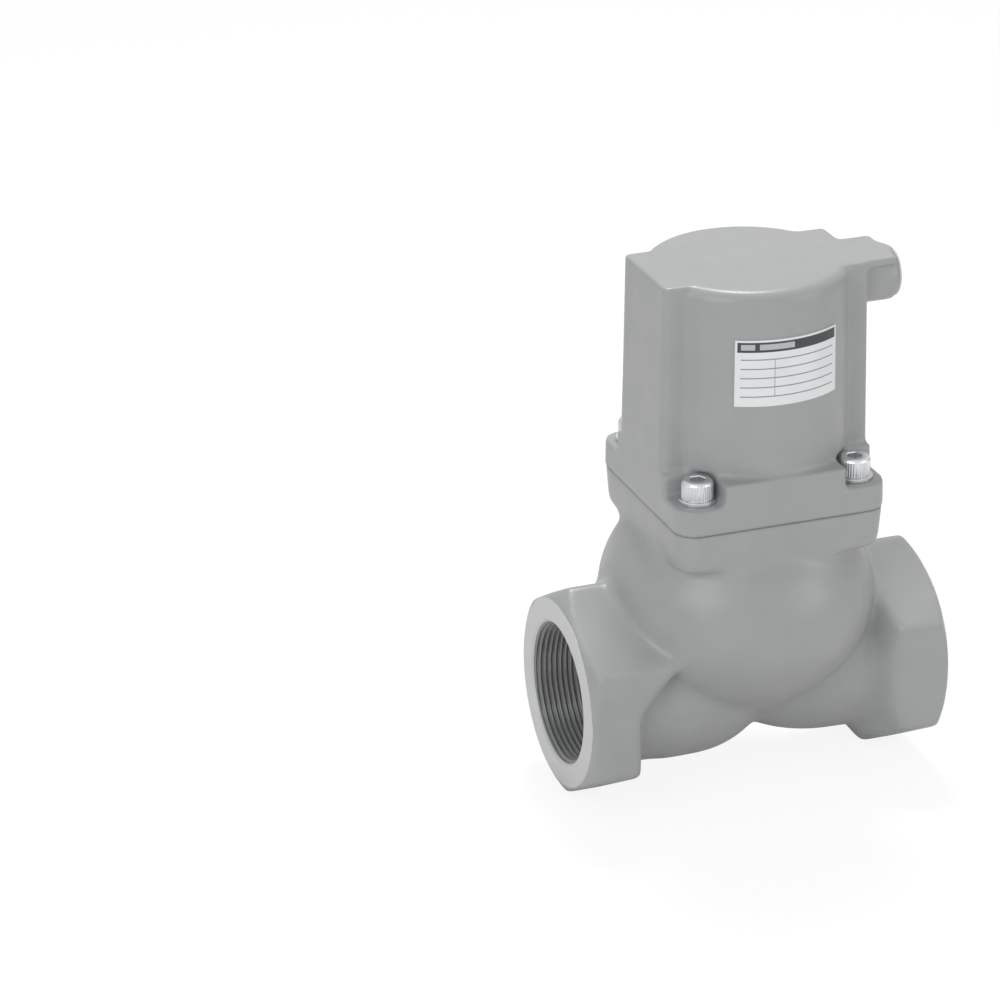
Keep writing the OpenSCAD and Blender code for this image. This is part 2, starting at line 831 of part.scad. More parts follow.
// The porous plug in the breather hole at the back
module breather() {
    color([0.66, 0.55, 0.36]) at_stem()
        translate([0, cylinder_top_r - breather_t + slip, breather_z]) rotate([-90, 0, 0])
            cylinder(h = breather_t - 1, r = breather_r - slip);
}

body();
cover();
gland_plate();
guide_bush();
stem_packing();
packing_keeper();
air_seal();
air_seal_keeper();
body_ring();
cover_ring();
piston();
piston_packing();
piston_band();
piston_ring();
stem();
piston_nut();
return_spring();
spring_plate();
shutoff_disc();
valve_seal();
seal_retainer();
retainer_nut();
cover_bolts();
bolt_washers();
nameplate();
breather();
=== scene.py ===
# %% [markdown]
# # An air-operated globe valve
# The valve is a painted casting with two screwed ports, and above it a cover whose piston lifts the
# stem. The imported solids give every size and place. This lesson dresses them: castings get soft
# edges and a paint skin, and the small steel pieces get the detail that solids leave out.

# %% Load the frame
import json
import math

import bmesh
import bpy
import numpy as np
from mathutils import Matrix, Vector


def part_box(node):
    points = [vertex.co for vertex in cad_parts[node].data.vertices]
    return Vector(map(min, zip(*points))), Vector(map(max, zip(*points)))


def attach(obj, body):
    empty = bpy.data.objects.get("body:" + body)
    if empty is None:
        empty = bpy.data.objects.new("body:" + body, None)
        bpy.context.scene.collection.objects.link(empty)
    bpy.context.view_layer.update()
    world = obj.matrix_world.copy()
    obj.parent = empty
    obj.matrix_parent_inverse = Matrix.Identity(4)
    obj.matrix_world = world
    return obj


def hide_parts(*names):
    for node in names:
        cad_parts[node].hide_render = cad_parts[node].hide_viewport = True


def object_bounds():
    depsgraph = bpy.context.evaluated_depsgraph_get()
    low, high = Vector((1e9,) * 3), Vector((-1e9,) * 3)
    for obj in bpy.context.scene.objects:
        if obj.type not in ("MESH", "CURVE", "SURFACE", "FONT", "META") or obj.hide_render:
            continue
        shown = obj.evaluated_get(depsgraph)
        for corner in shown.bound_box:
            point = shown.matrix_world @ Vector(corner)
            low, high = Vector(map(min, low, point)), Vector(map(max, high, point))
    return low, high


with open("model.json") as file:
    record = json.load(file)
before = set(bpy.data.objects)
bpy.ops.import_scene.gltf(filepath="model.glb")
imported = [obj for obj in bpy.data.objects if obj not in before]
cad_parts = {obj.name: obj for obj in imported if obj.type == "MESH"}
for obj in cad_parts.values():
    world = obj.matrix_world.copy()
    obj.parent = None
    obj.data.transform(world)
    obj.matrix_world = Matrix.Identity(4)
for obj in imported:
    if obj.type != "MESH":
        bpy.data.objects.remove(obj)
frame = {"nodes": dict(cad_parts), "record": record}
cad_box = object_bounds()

MM = 0.001
nodes = frame["nodes"]
print("solids in the frame:", len(nodes))

# %% [markdown]
# ## Sizes that the pieces share
# A few sizes are read from the solids, so that a piece always meets what carries it. The rest are
# named here once, in metres.

# %% Shared sizes
body_low, body_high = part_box("body")
cover_low, cover_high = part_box("cover")
stem_low, stem_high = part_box("stem")
bolts_low, bolts_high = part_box("cover_bolts")
washers_low, washers_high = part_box("bolt_washers")
plate_low, plate_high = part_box("nameplate")

stem_x = (stem_low.x + stem_high.x) / 2
face_to_face = body_high.x - body_low.x
joint_z = cover_low.z
top_z = cover_high.z
port_r = 29.8 * MM
thread_depth = 26 * MM
print(f"stem at x = {stem_x:.4f}, joint at z = {joint_z:.4f}, top at z = {top_z:.4f}")

# %% [markdown]
# ## Camera
# The photograph was taken with a long lens from the front and left, a little above the valve. The
# camera's place is written as how far the valve's middle lies right of and below the picture's
# centre, and how far away it is.

# %% Camera
view_azimuth = math.radians(-19.755)
view_elevation = math.radians(23.546)
view_roll = math.radians(-0.484)
view_right = 98.783 * MM
view_up = -68.521 * MM
view_distance = 1736.948 * MM
lens_mm = 148.61

across = Vector((math.cos(view_azimuth), math.sin(view_azimuth), 0))
ahead = Vector((
    -math.sin(view_azimuth) * math.cos(view_elevation),
    math.cos(view_azimuth) * math.cos(view_elevation),
    -math.sin(view_elevation),
))
above = across.cross(ahead)
camera_x = math.cos(view_roll) * across + math.sin(view_roll) * above
camera_y = -math.sin(view_roll) * across + math.cos(view_roll) * above
middle = Vector((face_to_face / 2, 0, 0))
camera_place = middle - view_right * camera_x - view_up * camera_y - view_distance * ahead

camera_data = bpy.data.cameras.new("camera")
camera_data.sensor_width = 36
camera_data.lens = lens_mm
camera_data.clip_end = 20
camera = bpy.data.objects.new("camera", camera_data)
bpy.context.scene.collection.objects.link(camera)
turn = Matrix((camera_x, camera_y, -ahead)).transposed().to_4x4()
camera.matrix_world = Matrix.Translation(camera_place) @ turn
bpy.context.scene.camera = camera
print("camera at", [round(v, 3) for v in camera_place])

# %% [markdown]
# ## Helpers for meshes
# Every finished piece sits at the origin with its place in its mesh. The helpers link a mesh as an
# object, bake its modifiers into a plain mesh, shade it by angle, turn a profile and cut away room.

# %% Mesh helpers
def add_object(name, mesh):
    """Links a mesh as a new object at the origin."""
    piece = bpy.data.objects.new(name, mesh)
    bpy.context.scene.collection.objects.link(piece)
    return piece


def object_from(name, built):
    """Turns a finished bmesh into a linked object."""
    mesh = bpy.data.meshes.new(name)
    built.to_mesh(mesh)
    built.free()
    return add_object(name, mesh)


def bake_modifiers(piece):
    """Turns the evaluated object into a plain mesh and takes the modifiers off."""
    bpy.context.view_layer.update()
    graph = bpy.context.evaluated_depsgraph_get()
    mesh = bpy.data.meshes.new_from_object(piece.evaluated_get(graph))
    old = piece.data
    piece.modifiers.clear()
    piece.data = mesh
    mesh.name = piece.name
    if old.users == 0:
        bpy.data.meshes.remove(old)


def shade_smooth(piece, angle):
    """Shades a piece smooth, with a crease where faces meet at more than the angle."""
    piece.data.shade_smooth()
    mesh = bmesh.new()
    mesh.from_mesh(piece.data)
    for edge in mesh.edges:
        if len(edge.link_faces) == 2 and edge.calc_face_angle(0) > math.radians(angle):
            edge.smooth = False
    mesh.to_mesh(piece.data)
    mesh.free()


def lathe(name, profile, segments, ripple=0, first=0, last=0):
    """Turns a profile of radius and height about Z; from ring first to last it has a knurl."""
    mesh = bmesh.new()
    rings = []
    for i, (radius, height) in enumerate(profile):
        knurled = ripple if first <= i <= last else 0
        ring = []
        for k in range(segments):
            angle = 2 * math.pi * k / segments
            point_r = radius - knurled * (k % 4 < 2)
            ring.append(mesh.verts.new((point_r * math.cos(angle), point_r * math.sin(angle), height)))
        rings.append(ring)
    for low, high in zip(rings, rings[1:]):
        for k in range(segments):
            n = (k + 1) % segments
            mesh.faces.new((low[k], low[n], high[n], high[k]))
    mesh.faces.new(list(reversed(rings[0])))
    mesh.faces.new(rings[-1])
    return object_from(name, mesh)


def cut_away(piece, tool):
    """Cuts one closed solid out of another and deletes the tool."""
    cut = piece.modifiers.new("cut", "BOOLEAN")
    cut.operation = "DIFFERENCE"
    cut.solver = "EXACT"
    cut.object = tool
    bake_modifiers(piece)
    bpy.data.objects.remove(tool)


def finish_piece(piece, material, body, replaced=()):
    """Gives a piece its material and its body, and hides the solids that it stands for."""
    piece.data.materials.clear()
    piece.data.materials.append(material)
    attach(piece, body)
    if replaced:
        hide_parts(*replaced)
    print(f"{piece.name}: {len(piece.data.polygons)} faces on {body}")


print("mesh helpers ready")

# %% [markdown]
# ## Shader groups
# Three effects are used by several finishes, so each is one node group. Skin is the fine pebbling of
# a sand casting under paint. Turning is the fine rings that a lathe leaves around an axis. Grime is
# a slow change of tone over a whole piece.

# %% Shader group helper
def new_group(name, inputs, outputs):
    """Makes an empty shader group with named sockets and returns its tree, inputs and outputs."""
    tree = bpy.data.node_groups.new(name, "ShaderNodeTree")
    for label, kind, value in inputs:
        socket = tree.interface.new_socket(label, in_out="INPUT", socket_type=kind)
        socket.default_value = value
    for label, kind in outputs:
        tree.interface.new_socket(label, in_out="OUTPUT", socket_type=kind)
    return tree, tree.nodes.new("NodeGroupInput"), tree.nodes.new("NodeGroupOutput")


def math_node(tree, operation, first, second=None, third=None):
    """Adds a Math node whose inputs are sockets or numbers, and returns its output."""
    node = tree.nodes.new("ShaderNodeMath")
    node.operation = operation
    for index, value in enumerate((first, second, third)):
        if isinstance(value, (int, float)):
            node.inputs[index].default_value = value
        elif value is not None:
            tree.links.new(value, node.inputs[index])
    return node.outputs[0]


print("group helpers ready")

# %% Skin group
skin, skin_in, skin_out = new_group(
    "skin",
    [("Vector", "NodeSocketVector", (0, 0, 0)), ("Pebble Size", "NodeSocketFloat", 900)],
    [("Height", "NodeSocketFloat"), ("Tone", "NodeSocketFloat")],
)
pebbles = skin.nodes.new("ShaderNodeTexNoise")
pebbles.inputs["Detail"].default_value = 3
pebbles.inputs["Roughness"].default_value = 0.55
swell = skin.nodes.new("ShaderNodeTexNoise")
swell.inputs["Scale"].default_value = 90
swell.inputs["Detail"].default_value = 2
skin.links.new(skin_in.outputs["Vector"], pebbles.inputs["Vector"])
skin.links.new(skin_in.outputs["Pebble Size"], pebbles.inputs["Scale"])
skin.links.new(skin_in.outputs["Vector"], swell.inputs["Vector"])
skin_sum = math_node(skin, "MULTIPLY_ADD", swell.outputs[0], 1.5, pebbles.outputs[0])
skin.links.new(skin_sum, skin_out.inputs["Height"])
skin.links.new(swell.outputs[0], skin_out.inputs["Tone"])
print("skin group:", len(skin.nodes), "nodes")

# %% Turning group
turning, turning_in, turning_out = new_group(
    "turning",
    [("Vector", "NodeSocketVector", (0, 0, 0)), ("Rings per Metre", "NodeSocketFloat", 2500)],
    [("Height", "NodeSocketFloat"), ("Tone", "NodeSocketFloat")],
)
length_node = turning.nodes.new("ShaderNodeVectorMath")
length_node.operation = "LENGTH"
turning.links.new(turning_in.outputs["Vector"], length_node.inputs[0])
ring_place = math_node(
    turning, "MULTIPLY", length_node.outputs["Value"], turning_in.outputs["Rings per Metre"])
ring_noise = turning.nodes.new("ShaderNodeTexNoise")
ring_noise.noise_dimensions = "1D"
ring_noise.inputs["Scale"].default_value = 1
ring_noise.inputs["Detail"].default_value = 2
turning.links.new(ring_place, ring_noise.inputs["W"])
turning.links.new(ring_noise.outputs[0], turning_out.inputs["Height"])
turning.links.new(ring_noise.outputs[0], turning_out.inputs["Tone"])
print("turning group:", len(turning.nodes), "nodes")

# %% Grime group
grime, grime_in, grime_out = new_group(
    "grime",
    [
        ("Vector", "NodeSocketVector", (0, 0, 0)),
        ("Light", "NodeSocketColor", (0.5, 0.5, 0.5, 1)),
        ("Dark", "NodeSocketColor", (0.4, 0.4, 0.4, 1)),
        ("Tone", "NodeSocketFloat", 0.5),
    ],
    [("Color", "NodeSocketColor"), ("Roughness", "NodeSocketFloat")],
)
slow = grime.nodes.new("ShaderNodeTexNoise")
slow.inputs["Scale"].default_value = 22
slow.inputs["Detail"].default_value = 5
slow.inputs["Roughness"].default_value = 0.6
grime.links.new(grime_in.outputs["Vector"], slow.inputs["Vector"])
grime_mix = grime.nodes.new("ShaderNodeMix")
grime_mix.data_type = "RGBA"
grime_tone = math_node(grime, "MULTIPLY_ADD", grime_in.outputs["Tone"], 0.5, 0.0)
grime_tone = math_node(grime, "MULTIPLY_ADD", slow.outputs[0], 0.5, grime_tone)
grime.links.new(grime_tone, grime_mix.inputs["Factor"])
grime.links.new(grime_in.outputs["Light"], grime_mix.inputs[6])
grime.links.new(grime_in.outputs["Dark"], grime_mix.inputs[7])
grime.links.new(grime_mix.outputs[2], grime_out.inputs["Color"])
grime_rough = math_node(grime, "MULTIPLY_ADD", grime_tone, 0.1, 0.3)
grime.links.new(grime_rough, grime_out.inputs["Roughness"])
print("grime group:", len(grime.nodes), "nodes")

# %% [markdown]
# ## Finishes
# A finish is a Principled material whose colour comes from the grime group and whose relief comes
# from skin or turning. The helper below wires both, so each finish is one short call.

# %% Finish helper
def place_group(tree, group, **values):
    """Puts a shader group in a material and sets its inputs by name."""
    node = tree.nodes.new("ShaderNodeGroup")
    node.node_tree = group
    for label, value in values.items():
        node.inputs[label.replace("_", " ")].default_value = value
    return node


def new_finish(name, light, dark, relief, metal, depth, centre=(0, 0, 0), squeeze=(1, 1, 1),
               rough=None, relief_scale=None):
    """Makes a material: relief is skin or turning, centred and squeezed by a Mapping node."""
    material = bpy.data.materials.new(name)
    material.use_nodes = True
    tree = material.node_tree
    shader = tree.nodes["Principled BSDF"]
    shader.inputs["Metallic"].default_value = metal
    coordinates = tree.nodes.new("ShaderNodeTexCoord")
    mapping = tree.nodes.new("ShaderNodeMapping")
    mapping.vector_type = "POINT"
    mapping.inputs["Location"].default_value = [-c * s for c, s in zip(centre, squeeze)]
    mapping.inputs["Scale"].default_value = squeeze
    tree.links.new(coordinates.outputs["Object"], mapping.inputs["Vector"])
    relief_node = place_group(tree, relief)
    if relief_scale:
        relief_node.inputs[1].default_value = relief_scale
    tree.links.new(mapping.outputs["Vector"], relief_node.inputs["Vector"])
    colour = place_group(tree, grime, Light=(*light, 1), Dark=(*dark, 1))
    tree.links.new(coordinates.outputs["Object"], colour.inputs["Vector"])
    tree.links.new(relief_node.outputs["Tone"], colour.inputs["Tone"])
    tree.links.new(colour.outputs["Color"], shader.inputs["Base Color"])
    if rough is None:
        tree.links.new(colour.outputs["Roughness"], shader.inputs["Roughness"])
    else:
        shader.inputs["Roughness"].default_value = rough
    bump = tree.nodes.new("ShaderNodeBump")
    bump.inputs["Strength"].default_value = 1
    bump.inputs["Distance"].default_value = depth
    tree.links.new(relief_node.outputs["Height"], bump.inputs["Height"])
    tree.links.new(bump.outputs["Normal"], shader.inputs["Normal"])
    return material


def mix_over(tree, mask, under, colour):
    """Lays a colour over another socket where the mask is 1."""
    mix = tree.nodes.new("ShaderNodeMix")
    mix.data_type = "RGBA"
    tree.links.new(mask, mix.inputs["Factor"])
    tree.links.new(under, mix.inputs[6])
    mix.inputs[7].default_value = (*colour, 1)
    return mix.outputs[2]


print("finish helper ready")

# %% The finishes of the small pieces
stem_line = (stem_x, 0, 0)
around_stem = (1, 1, 0.02)
turned_steel = new_finish(
    "turned_steel", (0.62, 0.63, 0.64), (0.5, 0.51, 0.52), turning, 1, 0.00002, stem_line, around_stem)
light_alloy = new_finish(
    "light_alloy", (0.72, 0.73, 0.74), (0.6, 0.61, 0.62), turning, 1, 0.00002, stem_line, around_stem)
bolt_steel = new_finish(
    "bolt_steel", (0.84, 0.85, 0.86), (0.6, 0.61, 0.62), skin, 1, 0.00002, relief_scale=1500)
washer_steel = new_finish(
    "washer_steel", (0.74, 0.75, 0.76), (0.58, 0.59, 0.6), skin, 1, 0.00001, relief_scale=2200)
spring_wire = new_finish(
    "spring_wire", (0.5, 0.51, 0.53), (0.36, 0.37, 0.39), skin, 1, 0.00002, relief_scale=1800)
seal_rubber = new_finish(
    "seal_rubber", (0.035, 0.035, 0.038), (0.018, 0.018, 0.02), skin, 0, 0.00002, rough=0.7)
guide_resin = new_finish(
    "guide_resin", (0.3, 0.2, 0.1), (0.2, 0.13, 0.06), skin, 0, 0.00001, rough=0.55)
sintered_bronze = new_finish(
    "sintered_bronze", (0.58, 0.42, 0.22), (0.32, 0.22, 0.11), skin, 1, 0.00008, relief_scale=2600)
print("finishes so far:", len(bpy.data.materials))

# %% [markdown]
# ## Cast paint
# Body and cover have the same satin grey paint over cast iron, as one material each. The faces of
# the ports are machined bare, and they belong to the threaded sleeves further down.

# %% Cast paint
def new_cast_paint(name):
    """Satin grey paint over the pebbled skin of a sand casting."""
    material = new_finish(
        name, (0.4, 0.404, 0.408), (0.33, 0.334, 0.338), skin, 0, 0.00006, relief_scale=1100)
    shader = material.node_tree.nodes["Principled BSDF"]
    shader.inputs["Specular IOR Level"].default_value = 0.45
    return material


body_paint = new_cast_paint("body_paint")
cover_paint = new_cast_paint("cover_paint")
print("cast paints:", body_paint.name, cover_paint.name)

# %% [markdown]
# ## Softened castings
# A sand casting has no sharp corner: every edge is rounded, and every inner corner has a fillet. One
# could bevel each edge, but the edges where a bowl meets a hexagon are hard to bevel. Here a copy of
# the solid is remeshed into small even faces and then smoothed, which rounds all edges at once. A
# vertex group keeps the smoothing off the machined places.

# %% Softening
weld_distance = 0.001 * MM
weight_levels = 5


def read_points(piece):
    """The points of a piece, as rows of x, y and z."""
    points = np.empty(len(piece.data.vertices) * 3)
    piece.data.vertices.foreach_get("co", points)
    return points.reshape(-1, 3)


def write_points(piece, points):
    """Moves the points of a piece to new places."""
    piece.data.vertices.foreach_set("co", points.ravel())
    piece.data.update()


def fade(values, start, width):
    """Rises from 0 at the start to 1 one width further."""
    return np.clip((values - start) / width, 0, 1)


def copy_solid(name, node):
    """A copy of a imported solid, with its faces joined at their edges."""
    mesh = nodes[node].data.copy()
    merged = bmesh.new()
    merged.from_mesh(mesh)
    bmesh.ops.remove_doubles(merged, verts=merged.verts, dist=weld_distance)
    merged.to_mesh(mesh)
    merged.free()
    return add_object(name, mesh)


def even_faces(piece, voxel):
    """Remeshes a piece into small even faces."""
    remesh = piece.modifiers.new("even_faces", "REMESH")
    remesh.mode = "VOXEL"
    remesh.voxel_size = voxel
    bake_modifiers(piece)


def soften(piece, rounds, freedom):
    """Smooths a piece; freedom(points) gives 0 to 1, where 1 moves freely and 0 stays."""
    group = piece.vertex_groups.new(name="free")
    weights = np.clip(freedom(read_points(piece)), 0, 1)
    for level in range(1, weight_levels + 1):
        chosen = np.nonzero(np.round(weights * weight_levels) == level)[0]
        group.add(chosen.tolist(), level / weight_levels, "REPLACE")
    smooth = piece.modifiers.new("rounding", "SMOOTH")
    smooth.factor = 0.5
    smooth.iterations = rounds
    smooth.vertex_group = "free"
    bake_modifiers(piece)


def stay_inside(piece, low, high):
    """Keeps every point of a piece inside a box."""
    write_points(piece, np.clip(read_points(piece), low, high))


def open_threads(piece, radius, depth):
    """Widens the bores behind the two port faces, to make room for the threaded sleeves."""
    points = read_points(piece)
    from_faces = np.minimum(points[:, 0], face_to_face - points[:, 0])
    from_pipe = np.hypot(points[:, 1], points[:, 2])
    bore_wall = (from_pipe > port_r - 2 * MM) & (from_pipe < radius)
    narrow = bore_wall & (from_faces < depth)
    points[narrow, 1:] *= (radius / from_pipe[narrow])[:, None]
    write_points(piece, points)


print("softening ready")

# %% [markdown]
# ## Room behind the inlet hexagon
# The hexagon's lower half is shorter than its upper half: below a slanting line the neck is round.
# A prism takes that room away, less the tube and the bowl that stay. The bowl's widest ring is at
# bowl_z; below it the bowl closes over bowl_depth, and above it follows an ellipse bowl_rise high.

# %% Room behind the inlet hexagon
hex_low_end = 22.5 * MM
hex_high_end = 38.4 * MM
slant_foot_z = 3 * MM
slant_top_z = 21 * MM
room_reach = 60 * MM
inlet_tube_r = 33.5 * MM
bowl_x = 79.5 * MM
bowl_z = 36 * MM
bowl_r = 57.5 * MM
bowl_depth = 61 * MM
bowl_rise = 48.6 * MM
bowl_fullness = 2.2


def wedge(name, outline, half_width):
    """A closed prism across the pipe, from points of x and z."""
    mesh = bmesh.new()
    near = [mesh.verts.new((x, -half_width, z)) for x, z in outline]
    far = [mesh.verts.new((x, half_width, z)) for x, z in outline]
    mesh.faces.new(near)
    mesh.faces.new(list(reversed(far)))
    for k in range(len(outline)):
        n = (k + 1) % len(outline)
        mesh.faces.new((near[n], near[k], far[k], far[n]))
    bmesh.ops.recalc_face_normals(mesh, faces=mesh.faces)
    return object_from(name, mesh)


room = wedge("room", [
    (hex_low_end, -room_reach), (hex_high_end, -room_reach),
    (hex_high_end, slant_top_z), (hex_low_end, slant_foot_z),
], room_reach)
tube_tool = lathe("tube_tool", [(inlet_tube_r, -20 * MM), (inlet_tube_r, 90 * MM)], 96)
tube_tool.data.transform(Matrix.Rotation(math.pi / 2, 4, "Y"))
cut_away(room, tube_tool)
lower_bowl = [
    (bowl_r * (1 - d ** bowl_fullness) + 0.01 * MM, bowl_z - bowl_depth * d)
    for d in (1, 0.95, 0.9, 0.8, 0.7, 0.6, 0.5, 0.4, 0.3, 0.2, 0.1, 0)
]
upper_bowl = [
    (bowl_r * math.sqrt(1 - h * h), bowl_z + bowl_rise * h) for h in (0.1, 0.2, 0.3, 0.4, 0.5)
]
bowl_tool = lathe("bowl_tool", lower_bowl + upper_bowl, 128)
bowl_tool.data.transform(Matrix.Translation((bowl_x, 0, 0)))
cut_away(room, bowl_tool)
print("room behind the hexagon:", len(room.data.polygons), "faces")

# %% [markdown]
# ## The two castings
# The body loses the room behind its hexagon before it is rounded. Its fillets under the flange and
# along the slant are wider than its edges, so they get more rounds of smoothing. The cover gets the
# fewest, and keeps its thin lip and its spot-faces.

# %% Body casting
body_voxel = 1.25 * MM
body_rounds = 12
fillet_rounds = 45
hexagon_freedom = 0.2
neck_r = 42 * MM
flange_foot_z = 61 * MM
flange_fillet_reach = 7 * MM
slant_low = np.array([27 * MM, 4 * MM])
slant_high = np.array([36 * MM, 13 * MM])
slant_fillet_reach = 5.5 * MM
sleeve_bed_r = port_r + 1.4 * MM
sleeve_bed_depth = thread_depth - 1.2 * MM
face_relief = 0.25 * MM


def free_on_body(points):
    """The body's rounding is small on the hexagons and fades out in the bores and at the joint."""
    x, y, z = points.T
    from_faces = np.minimum(x, face_to_face - x)
    outside = fade(np.hypot(y, z), port_r, 2 * MM)
    deep = fade(from_faces, thread_depth, 2 * MM)
    past_hexagon = fade(from_faces, 17 * MM, 12 * MM)
    off_joint = fade(joint_z - z, 0.3 * MM, 1.5 * MM)
    share = hexagon_freedom + (1 - hexagon_freedom) * past_hexagon
    return np.maximum(outside, deep) * off_joint * share


def free_in_fillets(points):
    """The large fillets are under the flange and along the slanting end of the inlet hexagon."""
    x, y, z = points.T
    outside_neck = fade(np.hypot(x - bowl_x, y), neck_r, 2 * MM)
    under_flange = 1.5 - np.abs(z - flange_foot_z) / flange_fillet_reach
    length = np.linalg.norm(slant_high - slant_low)
    line = (slant_high - slant_low) / length
    past_x, past_z = x - slant_low[0], z - slant_low[1]
    along = np.clip(past_x * line[0] + past_z * line[1], 0, length)
    from_line = np.hypot(past_x - along * line[0], past_z - along * line[1])
    outside_tube = fade(np.hypot(y, z), 31 * MM, 2 * MM)
    slant = (1.2 - from_line / slant_fillet_reach) * outside_tube
    return np.maximum(under_flange * outside_neck, slant)


body_casting = copy_solid("body_casting", "body")
cut_away(body_casting, room)
even_faces(body_casting, body_voxel)
soften(body_casting, body_rounds, free_on_body)
soften(body_casting, fillet_rounds, free_in_fillets)
open_threads(body_casting, sleeve_bed_r, sleeve_bed_depth)
stay_inside(
    body_casting,
    (body_low.x + face_relief, body_low.y, body_low.z),
    (body_high.x - face_relief, body_high.y, joint_z))
body_casting.data.shade_smooth()
finish_piece(body_casting, body_paint, "housing", ["body"])

# %% Cover casting
cover_voxel = 1.15 * MM
cover_rounds = 5


def free_on_cover(points):
    """The cover's rounding fades out at the joint."""
    return fade(points[:, 2] - joint_z, 0.3 * MM, 1.5 * MM)


cover_casting = copy_solid("cover_casting", "cover")
even_faces(cover_casting, cover_voxel)
soften(cover_casting, cover_rounds, free_on_cover)
stay_inside(cover_casting, (cover_low.x, cover_low.y, joint_z), tuple(cover_high))
cover_casting.data.shade_smooth()
finish_piece(cover_casting, cover_paint, "housing", ["cover"])

# %% [markdown]
# ## Threaded mouths
# Each port has a pipe thread behind a chamfered mouth. The real thread has a slight taper, which is
# left out here. A thread is a groove that climbs one pitch per turn, so its radius at any point
# follows from the distance along the axis and the angle. The sleeve below is that surface, closed at
# the back by a plain wall that hides in the casting.

# %% Thread sleeve
def thread_sleeve(name, start, direction, major_r, pitch, depth, length, face_r, segments):
    """A sleeve with an inner thread and a machined ring around its mouth, which is at start."""
    side = Vector((0, 0, 1)).cross(direction).normalized()
    up = direction.cross(side)
    angles = [2 * math.pi * k / segments for k in range(segments)]
    spokes = [math.cos(angle) * side + math.sin(angle) * up for angle in angles]
    minor_r = major_r - depth
    mouth_r = major_r + 1.1 * MM
    outer_r = major_r + 1.6 * MM
    ring_depth = 0.9 * MM
    bevel = 0.3 * MM
    steps_per_turn = 8
    last_step = int(length / pitch * steps_per_turn)
    steps = [0.0] + [i * pitch / steps_per_turn for i in range(2, last_step)] + [length]

    def threaded_r(distance, k):
        """Radius of the threaded wall at a distance from the mouth and at one spoke."""
        if distance == length:
            return major_r
        groove = abs(2 * ((distance / pitch - k / segments) % 1) - 1)
        flank = min(1, max(0, groove * 1.5 - 0.25))
        return max(minor_r + depth * flank, mouth_r - distance)

    mesh = bmesh.new()
    rings = [
        [mesh.verts.new(start + distance * direction + threaded_r(distance, k) * spoke)
         for k, spoke in enumerate(spokes)]
        for distance in steps
    ]
    outside = [
        (length, outer_r), (ring_depth, outer_r), (ring_depth, face_r), (bevel, face_r),
        (0.0, face_r - bevel),
    ]
    rings += [
        [mesh.verts.new(start + distance * direction + radius * spoke) for spoke in spokes]
        for distance, radius in outside
    ]
    for i, ring in enumerate(rings):
        after = rings[(i + 1) % len(rings)]
        for k in range(segments):
            n = (k + 1) % segments
            mesh.faces.new((ring[k], ring[n], after[n], after[k]))
    bmesh.ops.recalc_face_normals(mesh, faces=mesh.faces)
    piece = object_from(name, mesh)
    shade_smooth(piece, 40)
    return piece


pipe_thread_pitch = 2.309 * MM
pipe_thread_depth = 1.1 * MM
port_face_r = 40.1 * MM
sleeve_length = thread_depth - 1 * MM
port_metal = new_finish(
    "port_metal", (0.62, 0.624, 0.63), (0.54, 0.544, 0.55), turning, 0.25, 0.00003, (0, 0, 0),
    (0.02, 1, 1), rough=0.42)
port_tree = port_metal.node_tree
port_shader = port_tree.nodes["Principled BSDF"]
port_radius = port_tree.nodes.new("ShaderNodeVectorMath")
port_radius.operation = "LENGTH"
port_tree.links.new(port_tree.nodes["Mapping"].outputs["Vector"], port_radius.inputs[0])
# Inside the bore the metal is painted darker than the faces: painted shade for the dim inside of the
# thread.
in_bore = math_node(port_tree, "LESS_THAN", port_radius.outputs["Value"], port_r + 0.2 * MM)
port_colour = port_shader.inputs["Base Color"].links[0].from_socket
bore_painted_shade = mix_over(port_tree, in_bore, port_colour, (0.24, 0.243, 0.246))
port_tree.links.new(bore_painted_shade, port_shader.inputs["Base Color"])
for name, port_x, inward in (("inlet_thread", body_low.x, 1), ("outlet_thread", body_high.x, -1)):
    sleeve = thread_sleeve(
        name, Vector((port_x, 0, 0)), Vector((inward, 0, 0)), port_r, pipe_thread_pitch,
        pipe_thread_depth, sleeve_length, port_face_r, segments=160)
    finish_piece(sleeve, port_metal, "housing")

# %% Pilot thread
pilot_thread_pitch = 1.337 * MM
pilot_thread_depth = 0.6 * MM
pilot_face_r = 10.3 * MM
pilot_mount = next(m for m in frame["record"]["mounts"] if m["name"] == "pilot_port")
pilot_r = pilot_mount["dims"]["r_mm"] * MM
pilot_length = pilot_mount["dims"]["length_mm"] * MM - 0.5 * MM
pilot_thread = thread_sleeve(
    "pilot_thread", Vector(pilot_mount["pos_m"]), Vector((-1, 0, 0)), pilot_r, pilot_thread_pitch,
    pilot_thread_depth, pilot_length, pilot_face_r, segments=72)
finish_piece(pilot_thread, port_metal, "housing")

# %% [markdown]
# ## Cap screws and washers
# Four screws hold the cover, one at each corner of a rectangle. One screw is modelled in full, with a
# knurled head and a hexagon socket, and Geometry Nodes set it at the four corners. The washers use
# the same tree with their own mesh and finish.

